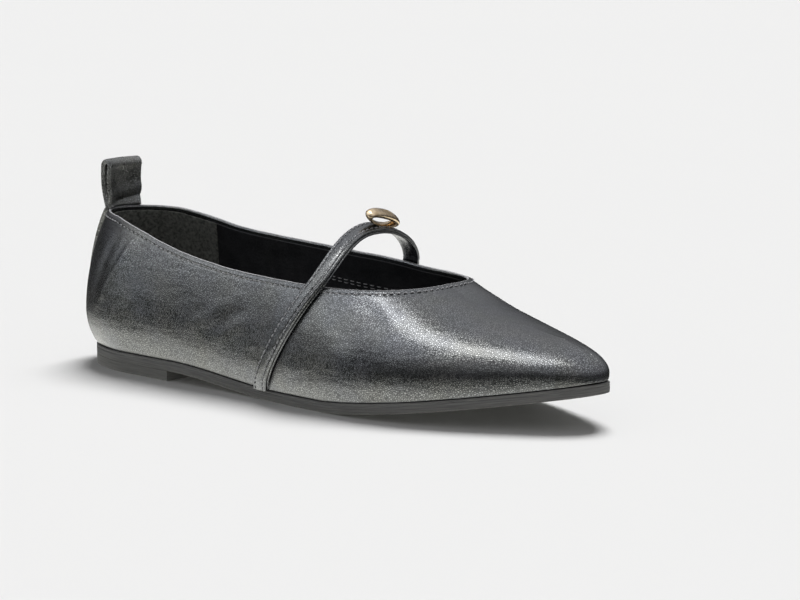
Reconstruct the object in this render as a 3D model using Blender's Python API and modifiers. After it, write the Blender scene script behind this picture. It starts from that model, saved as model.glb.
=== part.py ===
"""Ballet flat for the right foot: a hollow leather upper on a thin sole with a low heel.

Metres, +X to the toe, +Y to the inner (medial) side, +Z up. The heel and the ball of the sole stand on z = 0.
A station is a share of LAST_LENGTH, 0 at the back of the heel and 1 at the tip of the toe. The shapes are
worked out from the back of the heel, and each object is placed so that the origin is the heel's seat.
"""
import math

import bmesh
import bpy
import numpy as np
from mathutils import Vector

COLLECTION = "ballet_flat"

# Driving sizes of the last
LAST_LENGTH = 0.252
BALL_WIDTH = 0.076
INSTEP_HEIGHT = 0.080
BACK_HEIGHT = 0.064
UPPER_BULGE = 0.003
BULGE_HEIGHT = 0.014
SPINE_HEEL_SET = 0.026
SPINE_TOE_SET = 0.018
HEEL_SEAT = 0.030
LOWER_ROUNDING = 0.8

# Walls, clearances and fit
UPPER_WALL = 0.0016
GAP = 0.0003
SOLE_MARGIN = 0.0005
SOLE_THICKNESS = 0.0041
SOLE_EDGE_ROUND = 0.0006
HEEL_HEIGHT = 0.0042
HEEL_EDGE_ROUND = 0.0004
INSOLE_THICKNESS = 0.0018

# Stations where the sole's profile changes
BREAST_STATION = 0.235
ARCH_END_STATION = 0.475
SPRING_STATION = 0.585
TOE_SPRING = 0.0140
SPRING_CURVE = 1.3

# Throat of the opening
THROAT_STATION = 0.735
THROAT_HEIGHT = 0.0482

# Instep strap: stations of its middle at the sole and at the topline on each side
STRAP_WIDTH = 0.0071
STRAP_THICKNESS = 0.0022
STRAP_EDGE_ROUND = 0.0005
STRAP_FOOT_STATION = {"lateral": 0.453, "medial": 0.465}
STRAP_TOP_STATION = {"lateral": 0.565, "medial": 0.551}
STRAP_CROWN_STATION = 0.574
STRAP_CROWN_ACROSS = -0.0022
STRAP_CROWN_HEIGHT = 0.0669
STRAP_BANK = math.radians(22)
ARCH_FULLNESS = 1.6

# Oval ring on the strap
RING_LENGTH = 0.0205
RING_HEIGHT = 0.0068
RING_TOP_WIDTH = 0.0052
RING_BASE_WIDTH = 0.0032
RING_TOP_THICKNESS = 0.0023
RING_BASE_THICKNESS = 0.0011
RING_ACROSS = 0.0030
RING_TILT = math.radians(12)

# Pull tab and the back strip that it runs into
TAB_WIDTH = 0.0185
TAB_HEIGHT = 0.0198
TAB_THICKNESS = 0.0012
TAB_FOLD_RADIUS = 0.0019
TAB_SWELL = 0.0010
TAB_FLATTENING = 0.5
TAB_INNER_SHARE = 0.7

# Mesh steps
BACK_STEPS = 20
VAMP_STEPS = 13
LOWER_STEPS = 3
UPPER_STEPS = 9
SOLE_STEPS = 44
STRAP_WALL_STEPS = 10
STRAP_ARCH_STEPS = 8
RING_STEPS = 32
RING_SECTION_STEPS = 10
TAB_COLUMNS = 7
TAB_STRIP_STEPS = 12
TAB_LEG_STEPS = 4
TAB_FOLD_STEPS = 6

# Sections of the last. half_width and centre are shares of BALL_WIDTH, spine of INSTEP_HEIGHT,
# bulge of UPPER_BULGE and bulge_at of BULGE_HEIGHT. fullness is the power of the wall's round: 2 is an ellipse.
SECTION_COLUMNS = ("station", "half_width", "centre", "spine", "bulge", "bulge_at", "fullness")
SECTIONS = (
    (0.00, 0.000, 0.000, 1.050, 1.60, 1.05, 1.80),
    (0.05, 0.259, 0.000, 1.050, 1.55, 1.05, 1.80),
    (0.14, 0.340, -0.005, 1.040, 1.25, 1.05, 1.85),
    (0.28, 0.348, -0.028, 1.015, 1.00, 1.05, 1.95),
    (0.42, 0.375, -0.030, 0.975, 0.90, 1.00, 2.00),
    (0.55, 0.455, -0.008, 0.890, 0.80, 0.85, 2.00),
    (0.66, 0.498, 0.015, 0.730, 0.70, 0.75, 2.00),
    (0.735, 0.480, 0.030, 0.603, 0.60, 0.68, 2.00),
    (0.80, 0.425, 0.042, 0.520, 0.50, 0.60, 2.00),
    (0.90, 0.280, 0.053, 0.446, 0.30, 0.45, 1.95),
    (1.00, 0.000, 0.060, 0.384, 0.10, 0.18, 1.78),
)

# Heights of the topline on each side, as shares of BACK_HEIGHT
TOPLINE_COLUMNS = ("station", "lateral", "medial")
TOPLINE = (
    (0.00, 1.000, 1.000),
    (0.06, 0.984, 0.989),
    (0.12, 0.942, 0.950),
    (0.20, 0.872, 0.897),
    (0.30, 0.803, 0.868),
    (0.40, 0.762, 0.842),
    (0.50, 0.748, 0.808),
    (0.60, 0.742, 0.758),
    (0.68, 0.748, 0.746),
)

SIDE_SIGN = {"lateral": -1.0, "medial": 1.0}


def column(table, names, name):
    """One named column of a table."""
    return np.array([row[names.index(name)] for row in table], float)


def station_of(turn):
    """Station of a turn: turns are even steps that crowd the stations at heel and toe."""
    return (1.0 - np.cos(np.pi * np.asarray(turn, float))) / 2.0


def turn_of(station):
    """Turn of a station, 0 at the heel and 1 at the toe."""
    return np.arccos(1.0 - 2.0 * np.clip(station, 0.0, 1.0)) / np.pi


def smooth_curve(places, values, at):
    """Smooth curve through the given points that never swings past them."""
    step = np.diff(places)
    slope = np.diff(values) / step
    tangent = np.zeros(len(values))
    same = slope[:-1] * slope[1:] > 0.0
    before = slope[:-1][same]
    after = slope[1:][same]
    tangent[1:-1][same] = 2.0 * before * after / (before + after)
    tangent[0] = slope[0]
    tangent[-1] = slope[-1]
    index = np.clip(np.searchsorted(places, at) - 1, 0, len(step) - 1)
    share = (at - places[index]) / step[index]
    rest = 1.0 - share
    start = values[index] * (1.0 + 2.0 * share) * rest ** 2
    end = values[index + 1] * (3.0 - 2.0 * share) * share ** 2
    leave = tangent[index] * step[index] * share * rest ** 2
    arrive = tangent[index + 1] * step[index] * rest * share ** 2
    return start + end + leave - arrive


def section_value(name, station):
    """A column of SECTIONS read at any station. Widths follow the turn, so that both ends come out round."""
    stations = column(SECTIONS, SECTION_COLUMNS, "station")
    values = column(SECTIONS, SECTION_COLUMNS, name)
    if name == "half_width":
        return smooth_curve(turn_of(stations), values, turn_of(station))
    return smooth_curve(stations, values, np.asarray(station, float))


def topline_height(station, side):
    """Height of the opening's edge over the floor."""
    station_row = np.append(column(TOPLINE, TOPLINE_COLUMNS, "station"), THROAT_STATION)
    height_row = np.append(column(TOPLINE, TOPLINE_COLUMNS, side) * BACK_HEIGHT, THROAT_HEIGHT)
    return smooth_curve(station_row, height_row, min(float(station), THROAT_STATION))


def sole_floor(x):
    """Height of the sole's underside over the floor: on the heel, down the arch, flat ball, toe spring."""
    station = np.asarray(x, float) / LAST_LENGTH
    arch = np.clip((station - BREAST_STATION) / (ARCH_END_STATION - BREAST_STATION), 0.0, 1.0)
    spring = np.clip((station - SPRING_STATION) / (1.0 - SPRING_STATION), 0.0, None)
    return HEEL_HEIGHT * (1.0 - arch ** 2 * (3.0 - 2.0 * arch)) + TOE_SPRING * spring ** SPRING_CURVE


def sole_top(x):
    """Height of the sole's upper face."""
    return sole_floor(x) + SOLE_THICKNESS


def feather_point(station, side):
    """Point of the last's bottom outline in plan."""
    across = section_value("centre", station) + SIDE_SIGN[side] * section_value("half_width", station)
    return np.array([LAST_LENGTH * float(station), BALL_WIDTH * float(across)])


def feather_normal(station, side):
    """Outward direction of that outline in plan."""
    turn = float(turn_of(station))
    if turn < 1e-6:
        return np.array([-1.0, 0.0])
    if turn > 1.0 - 1e-6:
        return np.array([1.0, 0.0])
    reach = min(0.004, turn, 1.0 - turn)
    after = feather_point(station_of(turn + reach), side)
    before = feather_point(station_of(turn - reach), side)
    run = (after - before) / np.linalg.norm(after - before)
    return SIDE_SIGN[side] * np.array([-run[1], run[0]])


def offset_point(station, side, offset):
    """Point of the outline moved outward in plan."""
    return feather_point(station, side) + feather_normal(station, side) * offset


def bulge_height(station):
    """Height over the floor where the upper is widest."""
    return sole_top(LAST_LENGTH * station) + GAP + BULGE_HEIGHT * section_value("bulge_at", station)


def wall_sweep(station, height):
    """Sweep of the upper's section at a height: -1 at the sole, 0 at the bulge, a quarter turn at the spine."""
    foot = sole_top(LAST_LENGTH * station) + GAP
    bulge = bulge_height(station)
    if height <= bulge:
        return max(height - foot, 0.0) / (bulge - foot) - 1.0
    spine = INSTEP_HEIGHT * section_value("spine", station)
    share = min((height - bulge) / (spine - bulge), 1.0)
    return math.asin(share ** (section_value("fullness", station) / 2.0))


def wall_point(station, side, sweep):
    """Point of the upper's outer surface."""
    foot = sole_top(LAST_LENGTH * station) + GAP
    bulge = bulge_height(station)
    reach = UPPER_BULGE * section_value("bulge", station)
    if sweep < 0.0:
        share = 1.0 + sweep
        plan = offset_point(station, side, reach * math.sin(math.pi / 2.0 * share ** LOWER_ROUNDING))
        return np.array([plan[0], plan[1], foot + (bulge - foot) * share])
    widest = offset_point(station, side, reach)
    run = LAST_LENGTH - SPINE_HEEL_SET - SPINE_TOE_SET
    spine_plan = np.array([SPINE_HEEL_SET + run * station, BALL_WIDTH * section_value("centre", station)])
    power = 2.0 / section_value("fullness", station)
    plan = spine_plan + (widest - spine_plan) * max(math.cos(sweep), 0.0) ** power
    spine = INSTEP_HEIGHT * section_value("spine", station)
    return np.array([plan[0], plan[1], bulge + (spine - bulge) * math.sin(sweep) ** power])


def wall_at(station, side, height):
    """Point of the upper's outer surface at a height over the floor."""
    return wall_point(station, side, wall_sweep(station, height))


def wall_normal(station, side, height):
    """Outward direction of the upper's surface at a height."""
    along = wall_at(station + 0.002, side, height) - wall_at(max(station - 0.002, 0.0), side, height)
    rise = wall_at(station, side, height + 0.0005) - wall_at(station, side, height - 0.0005)
    normal = np.cross(along, rise) * -SIDE_SIGN[side]
    return normal / np.linalg.norm(normal)


def clear_scene():
    """Remove what the file holds."""
    for item in list(bpy.data.objects):
        bpy.data.objects.remove(item, do_unlink=True)


def make_material(name, color, roughness, metallic=0.0):
    """Plain Principled material."""
    material = bpy.data.materials.new(name)
    material.use_nodes = True
    shader = material.node_tree.nodes["Principled BSDF"]
    shader.inputs["Base Color"].default_value = (*color, 1.0)
    shader.inputs["Roughness"].default_value = roughness
    shader.inputs["Metallic"].default_value = metallic
    return material


def add_sheet(name, points, faces, material, collection):
    """Mesh object from points and faces, with points that fall together joined."""
    shape = bmesh.new()
    corners = [shape.verts.new(Vector(point)) for point in points]
    for face in faces:
        shape.faces.new([corners[index] for index in face])
    bmesh.ops.remove_doubles(shape, verts=shape.verts, dist=1e-7)
    mesh = bpy.data.meshes.new(name)
    shape.to_mesh(mesh)
    shape.free()
    mesh.materials.append(material)
    mesh.shade_smooth()
    mesh.set_sharp_from_angle(angle=math.radians(40))
    item = bpy.data.objects.new(name, mesh)
    item.location.x = -HEEL_SEAT
    collection.objects.link(item)
    return item


def thicken(item, thickness, offset):
    """Wall of even thickness. Offset -1 grows against the faces' direction, 0 grows both ways."""
    wall = item.modifiers.new("Wall", "SOLIDIFY")
    wall.thickness = thickness
    wall.offset = offset
    wall.use_even_offset = True


def round_edges(item, width):
    """Small round on the sharp edges."""
    bevel = item.modifiers.new("Round", "BEVEL")
    bevel.width = width
    bevel.segments = 2
    bevel.limit_method = "ANGLE"
    bevel.angle_limit = math.radians(50)


def grid_faces(rows, columns, closed=False):
    """Quads of a grid whose points run column by column within each row."""
    faces = []
    last = columns if closed else columns - 1
    for row in range(rows - 1):
        for place in range(last):
            after = (place + 1) % columns
            low = row * columns
            high = low + columns
            faces.append((low + place, low + after, high + after, high + place))
    return faces


def upper_stations():
    """Stations of the upper's columns, crowded at the heel, at the throat and at the toe."""
    throat_turn = float(turn_of(THROAT_STATION))
    back = [throat_turn * math.sin(math.pi / 2 * step / BACK_STEPS) for step in range(BACK_STEPS)]
    vamp = [throat_turn + (1.0 - throat_turn) * step / VAMP_STEPS for step in range(VAMP_STEPS + 1)]
    return [float(station_of(turn)) for turn in back + vamp]


def upper_column(station, side):
    """Points of the upper from the sole up to the topline, or over to the spine in front of the throat."""
    top = math.pi / 2.0
    if station < THROAT_STATION:
        top = wall_sweep(station, topline_height(station, side))
    sweeps = [step / LOWER_STEPS - 1.0 for step in range(LOWER_STEPS)]
    sweeps += [top * step / UPPER_STEPS for step in range(UPPER_STEPS + 1)]
    return [wall_point(station, side, sweep) for sweep in sweeps]


def build_upper(material, collection):
    """Hollow upper, open at the collar and underneath."""
    stations = upper_stations()
    columns = [upper_column(station, "lateral") for station in stations]
    columns += [upper_column(station, "medial") for station in reversed(stations[1:-1])]
    rows = LOWER_STEPS + UPPER_STEPS + 1
    points = [line[row] for row in range(rows) for line in columns]
    item = add_sheet("upper", points, grid_faces(rows, len(columns), closed=True), material, collection)
    thicken(item, UPPER_WALL, -1.0)
    return item


def plate_points(offset, height_of, end_station):
    """Pairs of outline points, lateral then medial, of a plate that ends at a station."""
    end_turn = float(turn_of(end_station))
    points = []
    for step in range(SOLE_STEPS + 1):
        station = float(station_of(end_turn * step / SOLE_STEPS))
        for side in ("lateral", "medial"):
            plan = offset_point(station, side, offset)
            points.append((plan[0], plan[1], float(height_of(plan[0]))))
    return points


def build_plate(name, offset, height_of, end_station, thickness, material, collection):
    """Plate under the foot, grown downward from its upper face."""
    points = plate_points(offset, height_of, end_station)
    rows = len(points) // 2
    faces = []
    for row in range(rows - 1):
        near = 2 * row
        quad = [near, near + 2, near + 3, near + 1]
        if row == 0:
            quad = [near, near + 2, near + 3]
        if row == rows - 2 and end_station >= 1.0:
            quad = [near, near + 2, near + 1]
        faces.append(tuple(quad))
    item = add_sheet(name, points, faces, material, collection)
    thicken(item, thickness, -1.0)
    return item


def build_outsole(material, collection):
    """Thin sole: flat on the heel, waist, flat ball and toe spring."""
    item = build_plate("outsole", SOLE_MARGIN, sole_top, 1.0, SOLE_THICKNESS, material, collection)
    round_edges(item, SOLE_EDGE_ROUND)
    return item


def build_heel(material, collection):
    """Low heel block with a straight breast, flush with the sole's side."""
    def heel_top(x):
        return HEEL_HEIGHT - GAP
    item = build_plate("heel", SOLE_MARGIN, heel_top, BREAST_STATION, HEEL_HEIGHT - GAP, material, collection)
    round_edges(item, HEEL_EDGE_ROUND)
    return item


def build_insole(material, collection):
    """Insole that fills the upper's inside over the sole."""
    def insole_top(x):
        return sole_top(x) + GAP + INSOLE_THICKNESS
    inset = -(UPPER_WALL + 2.0 * GAP)
    return build_plate("insole", inset, insole_top, 1.0, INSOLE_THICKNESS, material, collection)


def strap_wall_run(side):
    """Rows of the strap where it lies on the upper, from the sole up: front edge, middle and rear edge."""
    top = topline_height(STRAP_TOP_STATION[side], side)
    lean = LAST_LENGTH * (STRAP_TOP_STATION[side] - STRAP_FOOT_STATION[side]) / top
    half = STRAP_WIDTH / 2.0 * math.hypot(1.0, lean)
    rear_foot = LAST_LENGTH * STRAP_FOOT_STATION[side] - half
    foot = sole_top(rear_foot) + 2.0 * GAP
    rows = []
    for step in range(STRAP_WALL_STEPS + 1):
        share = step / STRAP_WALL_STEPS
        station = STRAP_FOOT_STATION[side] * (1.0 - share) + STRAP_TOP_STATION[side] * share
        height = foot * (1.0 - share) + top * share
        row = []
        for way in (1.0, 0.0, -1.0):
            place = station + way * half / LAST_LENGTH
            out = wall_normal(place, side, height) * (GAP + STRAP_THICKNESS / 2.0)
            row.append(wall_at(place, side, height) + out)
        rows.append(row)
    return rows


def bend_between(start, leave, end, arrive, share):
    """Point of a smooth bend that leaves start and arrives at end in the given directions."""
    rest = 1.0 - share
    pull = leave * (share * rest ** 2) - arrive * (rest * share ** 2)
    return start * ((1.0 + 2.0 * share) * rest ** 2) + end * ((3.0 - 2.0 * share) * share ** 2) + pull


def strap_arch(line, reach):
    """Rows of one half of the free arch, from the last row on the upper to the crown."""
    crown = np.array([LAST_LENGTH * STRAP_CROWN_STATION, STRAP_CROWN_ACROSS, STRAP_CROWN_HEIGHT])
    crown_half = np.array([math.cos(STRAP_BANK), 0.0, -math.sin(STRAP_BANK)]) * STRAP_WIDTH / 2.0
    front, start, rear = line[-1]
    climb = start - line[-2][1]
    climb = climb / np.linalg.norm(climb) * (crown[2] - start[2]) * ARCH_FULLNESS
    rows = []
    for step in range(1, STRAP_ARCH_STEPS + 1):
        share = step / STRAP_ARCH_STEPS
        middle = bend_between(start, climb, crown, reach, share)
        half = (front - rear) / 2.0 * (1.0 - share) + crown_half * share
        rows.append([middle + half, middle, middle - half])
    return rows


def strap_rows():
    """Rows of the whole strap, from the lateral to the medial side of the sole."""
    near = strap_wall_run("lateral")
    far = strap_wall_run("medial")
    chord = far[-1][1] - near[-1][1]
    chord[2] = 0.0
    chord = chord / np.linalg.norm(chord)
    near_reach = chord * (STRAP_CROWN_ACROSS - near[-1][1][1]) * ARCH_FULLNESS
    far_reach = chord * (STRAP_CROWN_ACROSS - far[-1][1][1]) * ARCH_FULLNESS
    rise = strap_arch(near, near_reach)
    fall = strap_arch(far, far_reach)
    return np.array(near + rise + fall[-2::-1] + far[::-1])


def build_strap(material, collection):
    """Instep strap: up the lateral side, free over the opening, down the medial side."""
    rows = strap_rows()
    item = add_sheet("strap", rows.reshape(-1, 3), grid_faces(len(rows), 3), material, collection)
    thicken(item, STRAP_THICKNESS, 0.0)
    round_edges(item, STRAP_EDGE_ROUND)
    return item


def ring_frame():
    """Centre of the ring and its directions along the strap, across it and up from it."""
    rows = strap_rows()
    arch = rows[STRAP_WALL_STEPS:-STRAP_WALL_STEPS]
    before = int(np.searchsorted(arch[:, 1, 1], RING_ACROSS)) - 1
    share = (RING_ACROSS - arch[before][1][1]) / (arch[before + 1][1][1] - arch[before][1][1])
    front, middle, rear = arch[before] * (1.0 - share) + arch[before + 1] * share
    run = arch[before + 1][1] - arch[before][1]
    run = run / np.linalg.norm(run)
    up = np.cross(front - rear, run)
    up = up / np.linalg.norm(up)
    across = np.cross(run, up)
    reach = math.hypot(RING_HEIGHT / 2.0 * math.cos(RING_TILT), RING_LENGTH / 2.0 * math.sin(RING_TILT))
    centre = middle + up * (STRAP_THICKNESS / 2.0 + GAP + reach)
    along = run * math.cos(RING_TILT) - up * math.sin(RING_TILT)
    return centre, along, across, np.cross(across, along)


def build_ring(material, collection):
    """Oval ring that stands on the strap, broad at the top and thin at its base."""
    centre, along, across, up = ring_frame()
    points = []
    for step in range(RING_STEPS):
        angle = 2.0 * math.pi * step / RING_STEPS
        top_share = (1.0 + math.sin(angle)) / 2.0
        thickness = RING_BASE_THICKNESS + (RING_TOP_THICKNESS - RING_BASE_THICKNESS) * top_share
        width = RING_BASE_WIDTH + (RING_TOP_WIDTH - RING_BASE_WIDTH) * top_share
        long_radius = (RING_LENGTH - thickness) / 2.0
        high_radius = (RING_HEIGHT - thickness) / 2.0
        out = np.array([math.cos(angle) / long_radius, math.sin(angle) / high_radius])
        out = out / np.linalg.norm(out)
        for turn in range(RING_SECTION_STEPS):
            around = 2.0 * math.pi * turn / RING_SECTION_STEPS
            length = long_radius * math.cos(angle) + out[0] * thickness / 2.0 * math.cos(around)
            height = high_radius * math.sin(angle) + out[1] * thickness / 2.0 * math.cos(around)
            depth = width / 2.0 * math.sin(around)
            points.append(centre + along * length + up * height + across * depth)
    faces = []
    for step in range(RING_STEPS):
        for turn in range(RING_SECTION_STEPS):
            after = (step + 1) % RING_STEPS
            side = (turn + 1) % RING_SECTION_STEPS
            low = step * RING_SECTION_STEPS
            high = after * RING_SECTION_STEPS
            faces.append((low + turn, high + turn, high + side, low + side))
    return add_sheet("ring", points, faces, material, collection)


def heel_back(across, height):
    """Point and outward direction of the upper's back at a distance across and a height."""
    side = "medial" if across > 0.0 else "lateral"
    turns = np.linspace(0.0, 0.3, 31)
    line = np.array([wall_at(float(station_of(turn)), side, height) for turn in turns])
    turn = float(np.interp(abs(across), np.abs(line[:, 1]), turns))
    station = float(station_of(turn))
    point = wall_at(station, side, height)
    out = wall_normal(station, side, height) if turn > 0.01 else np.array([-1.0, 0.0, 0.0])
    return point, out


def tab_column(across):
    """Points of the tab at a distance across: up the back strip, over the fold and down to the topline."""
    top = BACK_HEIGHT
    seat = GAP + TAB_THICKNESS / 2.0
    low = sole_top(0.0) + 2.0 * GAP
    points = []
    for step in range(TAB_STRIP_STEPS):
        height = low + (top - low) * step / TAB_STRIP_STEPS
        point, out = heel_back(across, height)
        points.append(point + out * seat)
    edge, _ = heel_back(across, top)
    middle, _ = heel_back(0.0, top)
    fold_height = TAB_HEIGHT - TAB_FOLD_RADIUS - TAB_THICKNESS / 2.0
    base_step = seat + UPPER_WALL / 2.0
    spread = 2.0 * TAB_FOLD_RADIUS - base_step

    def leg(share, outer):
        curl = (edge[0] - middle[0]) * (1.0 - TAB_FLATTENING * share)
        shift = UPPER_WALL / 2.0 + spread * TAB_INNER_SHARE * share
        if outer:
            shift = -seat - spread * (1.0 - TAB_INNER_SHARE) * share - TAB_SWELL * math.sin(math.pi * share)
        return np.array([middle[0] + curl + shift, across, top + fold_height * share])

    points += [leg(step / TAB_LEG_STEPS, True) for step in range(TAB_LEG_STEPS + 1)]
    start = leg(1.0, True)
    for step in range(1, TAB_FOLD_STEPS):
        angle = math.pi * step / TAB_FOLD_STEPS
        sway = TAB_FOLD_RADIUS * (1.0 - math.cos(angle))
        points.append(start + np.array([sway, 0.0, TAB_FOLD_RADIUS * math.sin(angle)]))
    points += [leg(1.0 - step / TAB_LEG_STEPS, False) for step in range(TAB_LEG_STEPS + 1)]
    points[-1] = points[-1] + np.array([0.0, 0.0, GAP])
    return points


def build_pull_tab(material, collection):
    """Folded pull tab on the back of the heel, with the strip that it runs into."""
    shares = [2.0 * place / (TAB_COLUMNS - 1) - 1.0 for place in range(TAB_COLUMNS)]
    columns = [tab_column(TAB_WIDTH / 2.0 * share) for share in reversed(shares)]
    points = [line[row] for row in range(len(columns[0])) for line in columns]
    item = add_sheet("pull_tab", points, grid_faces(len(columns[0]), TAB_COLUMNS), material, collection)
    thicken(item, TAB_THICKNESS, 0.0)
    return item


def main():
    """Build the shoe."""
    clear_scene()
    collection = bpy.data.collections.new(COLLECTION)
    bpy.context.scene.collection.children.link(collection)
    build_upper(make_material("upper_leather", (0.035, 0.037, 0.040), 0.38), collection)
    build_outsole(make_material("sole_rubber", (0.060, 0.060, 0.062), 0.75), collection)
    build_heel(make_material("heel_rubber", (0.055, 0.055, 0.057), 0.75), collection)
    build_insole(make_material("insole_leather", (0.030, 0.030, 0.032), 0.60), collection)
    build_strap(make_material("strap_leather", (0.032, 0.034, 0.037), 0.36), collection)
    build_ring(make_material("ring_gold", (0.85, 0.68, 0.42), 0.28, 1.0), collection)
    build_pull_tab(make_material("tab_leather", (0.035, 0.037, 0.038), 0.42), collection)


main()
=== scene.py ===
"""Looks of the ballet flat: leather, sole, strap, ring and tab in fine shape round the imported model.

Metres, +X to the toe, +Y to the inner (medial) side, +Z up. The surface of the upper is worked out from the
back of the heel, as the part's source does, and moved by HEEL_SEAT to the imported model's origin.
"""
import math

import bmesh
import bpy
import numpy as np
from mathutils import Matrix, Quaternion, Vector

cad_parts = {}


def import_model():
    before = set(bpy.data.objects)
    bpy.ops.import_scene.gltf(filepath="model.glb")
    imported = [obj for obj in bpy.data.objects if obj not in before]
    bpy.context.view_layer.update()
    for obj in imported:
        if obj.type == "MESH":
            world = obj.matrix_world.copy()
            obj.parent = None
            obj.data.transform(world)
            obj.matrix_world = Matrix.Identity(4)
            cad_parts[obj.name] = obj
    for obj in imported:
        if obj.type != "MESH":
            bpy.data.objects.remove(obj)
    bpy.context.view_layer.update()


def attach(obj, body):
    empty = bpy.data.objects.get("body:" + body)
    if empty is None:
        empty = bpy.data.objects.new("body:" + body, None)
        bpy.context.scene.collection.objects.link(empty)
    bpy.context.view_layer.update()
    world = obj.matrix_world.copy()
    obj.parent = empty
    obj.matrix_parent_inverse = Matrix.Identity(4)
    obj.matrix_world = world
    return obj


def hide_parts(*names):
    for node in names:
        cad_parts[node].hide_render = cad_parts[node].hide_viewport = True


# Sizes of the last, the walls and the sole, as the part's source has them
LAST_LENGTH = 0.252
BALL_WIDTH = 0.076
INSTEP_HEIGHT = 0.080
BACK_HEIGHT = 0.064
UPPER_BULGE = 0.003
BULGE_HEIGHT = 0.014
SPINE_HEEL_SET = 0.026
SPINE_TOE_SET = 0.018
HEEL_SEAT = 0.030
LOWER_ROUNDING = 0.8
UPPER_WALL = 0.0016
GAP = 0.0003
SOLE_MARGIN = 0.0005
SOLE_THICKNESS = 0.0041
HEEL_HEIGHT = 0.0042
INSOLE_THICKNESS = 0.0018
BREAST_STATION = 0.235
ARCH_END_STATION = 0.475
SPRING_STATION = 0.585
TOE_SPRING = 0.0140
SPRING_CURVE = 1.3
THROAT_STATION = 0.735
THROAT_HEIGHT = 0.0482
STRAP_WIDTH = 0.0071
STRAP_THICKNESS = 0.0022
STRAP_FOOT_STATION = {"lateral": 0.453, "medial": 0.465}
STRAP_TOP_STATION = {"lateral": 0.565, "medial": 0.551}
STRAP_CROWN_STATION = 0.574
STRAP_CROWN_ACROSS = -0.0022
STRAP_CROWN_HEIGHT = 0.0669
STRAP_BANK = math.radians(22)
ARCH_FULLNESS = 1.6
RING_LENGTH = 0.0205
RING_HEIGHT = 0.0068
RING_TOP_WIDTH = 0.0052
RING_BASE_WIDTH = 0.0032
RING_TOP_THICKNESS = 0.0023
RING_BASE_THICKNESS = 0.0011
RING_ACROSS = 0.0030
RING_TILT = math.radians(12)
TAB_WIDTH = 0.0185
TAB_HEIGHT = 0.0198
TAB_THICKNESS = 0.0012
TAB_FOLD_RADIUS = 0.0019
TAB_SWELL = 0.0010
TAB_FLATTENING = 0.5
TAB_INNER_SHARE = 0.7

SECTION_COLUMNS = ("station", "half_width", "centre", "spine", "bulge", "bulge_at", "fullness")
SECTIONS = (
    (0.00, 0.000, 0.000, 1.050, 1.60, 1.05, 1.80),
    (0.05, 0.259, 0.000, 1.050, 1.55, 1.05, 1.80),
    (0.14, 0.340, -0.005, 1.040, 1.25, 1.05, 1.85),
    (0.28, 0.348, -0.028, 1.015, 1.00, 1.05, 1.95),
    (0.42, 0.375, -0.030, 0.975, 0.90, 1.00, 2.00),
    (0.55, 0.455, -0.008, 0.890, 0.80, 0.85, 2.00),
    (0.66, 0.498, 0.015, 0.730, 0.70, 0.75, 2.00),
    (0.735, 0.480, 0.030, 0.603, 0.60, 0.68, 2.00),
    (0.80, 0.425, 0.042, 0.520, 0.50, 0.60, 2.00),
    (0.90, 0.280, 0.053, 0.446, 0.30, 0.45, 1.95),
    (1.00, 0.000, 0.060, 0.384, 0.10, 0.18, 1.78),
)
TOPLINE_COLUMNS = ("station", "lateral", "medial")
TOPLINE = (
    (0.00, 1.000, 1.000),
    (0.06, 0.984, 0.989),
    (0.12, 0.942, 0.950),
    (0.20, 0.872, 0.897),
    (0.30, 0.803, 0.868),
    (0.40, 0.762, 0.842),
    (0.50, 0.748, 0.808),
    (0.60, 0.742, 0.758),
    (0.68, 0.748, 0.746),
)

# Steps of the fine meshes
BACK_STEPS = 210
VAMP_STEPS = 110
LOOP_STEPS = 400
LOWER_STEPS = 10
UPPER_STEPS = 44
RIM_STEPS = 8
STRAP_WALL_STEPS = 60
STRAP_ARCH_STEPS = 50
SOLE_STEPS = 150
HEEL_STEPS = 60
INSOLE_COLUMNS = 13
RING_STEPS = 240
RING_SECTION_STEPS = 40
TAB_COLUMNS = 33
TAB_STRIP_STEPS = 40
TAB_LEG_STEPS = 26
TAB_FOLD_STEPS = 14
STITCH_SPOTS = 7
STITCH_SIDES = 6

# Powers that crowd the columns behind the throat and the rows under the topline
VAMP_CROWDING = 1.35
WALL_CROWDING = 1.5

# Steps of turn and sweep over which directions are measured, the turns searched at the back of the heel, and
# how many points a search for the nearest one takes at a time
TURN_STEP = 0.004
WALL_TURN_STEP = 0.002
WALL_SWEEP_STEP = 0.02
BACK_TURNS = np.linspace(0.0, 0.3, 61)
SEARCH_BATCH = 2000

# Topline: its turned edge, a pale line on it and stitches. The first constant below is the line's share of
# the round edge.
# The pale line is partly the leather's pale cut edge and partly a painted highlight along the top of the
# turned edge.
EDGE_BLEND = 0.006
EDGE_BEAD = 0.00022
CUT_EDGE_AND_HIGHLIGHT_SHARE = (0.30, 0.70)
CUT_EDGE_AND_HIGHLIGHT_RISE = 0.00008
CUT_EDGE_AND_HIGHLIGHT_THICKNESS = 0.0002
STITCH_INSET = 0.0022
STITCH_CHANNEL = 0.00016
STITCH_CHANNEL_WIDTH = 0.0005
STITCH_PITCH = 0.0029
STITCH_LENGTH = 0.0021
THREAD_RADIUS = 0.00025

# Round line where the two halves of the vamp meet
SPINE_ROUND = 0.007
SPINE_FADE = 0.010

# Linings, and the double row of stitches on the medial one by stations and heights over the floor
LINING_DROP = 0.0011
LINING_THICKNESS = 0.0005
LINING_OVERLAP = 0.02
HEEL_LINING_STATION = 0.146
HEEL_LINING_STEP = 0.0003
LINING_ROW = ((0.385, 0.0404), (0.530, 0.0360))
LINING_ROW_SPACE = 0.0013
LINING_ROW_STEPS = 60

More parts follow.
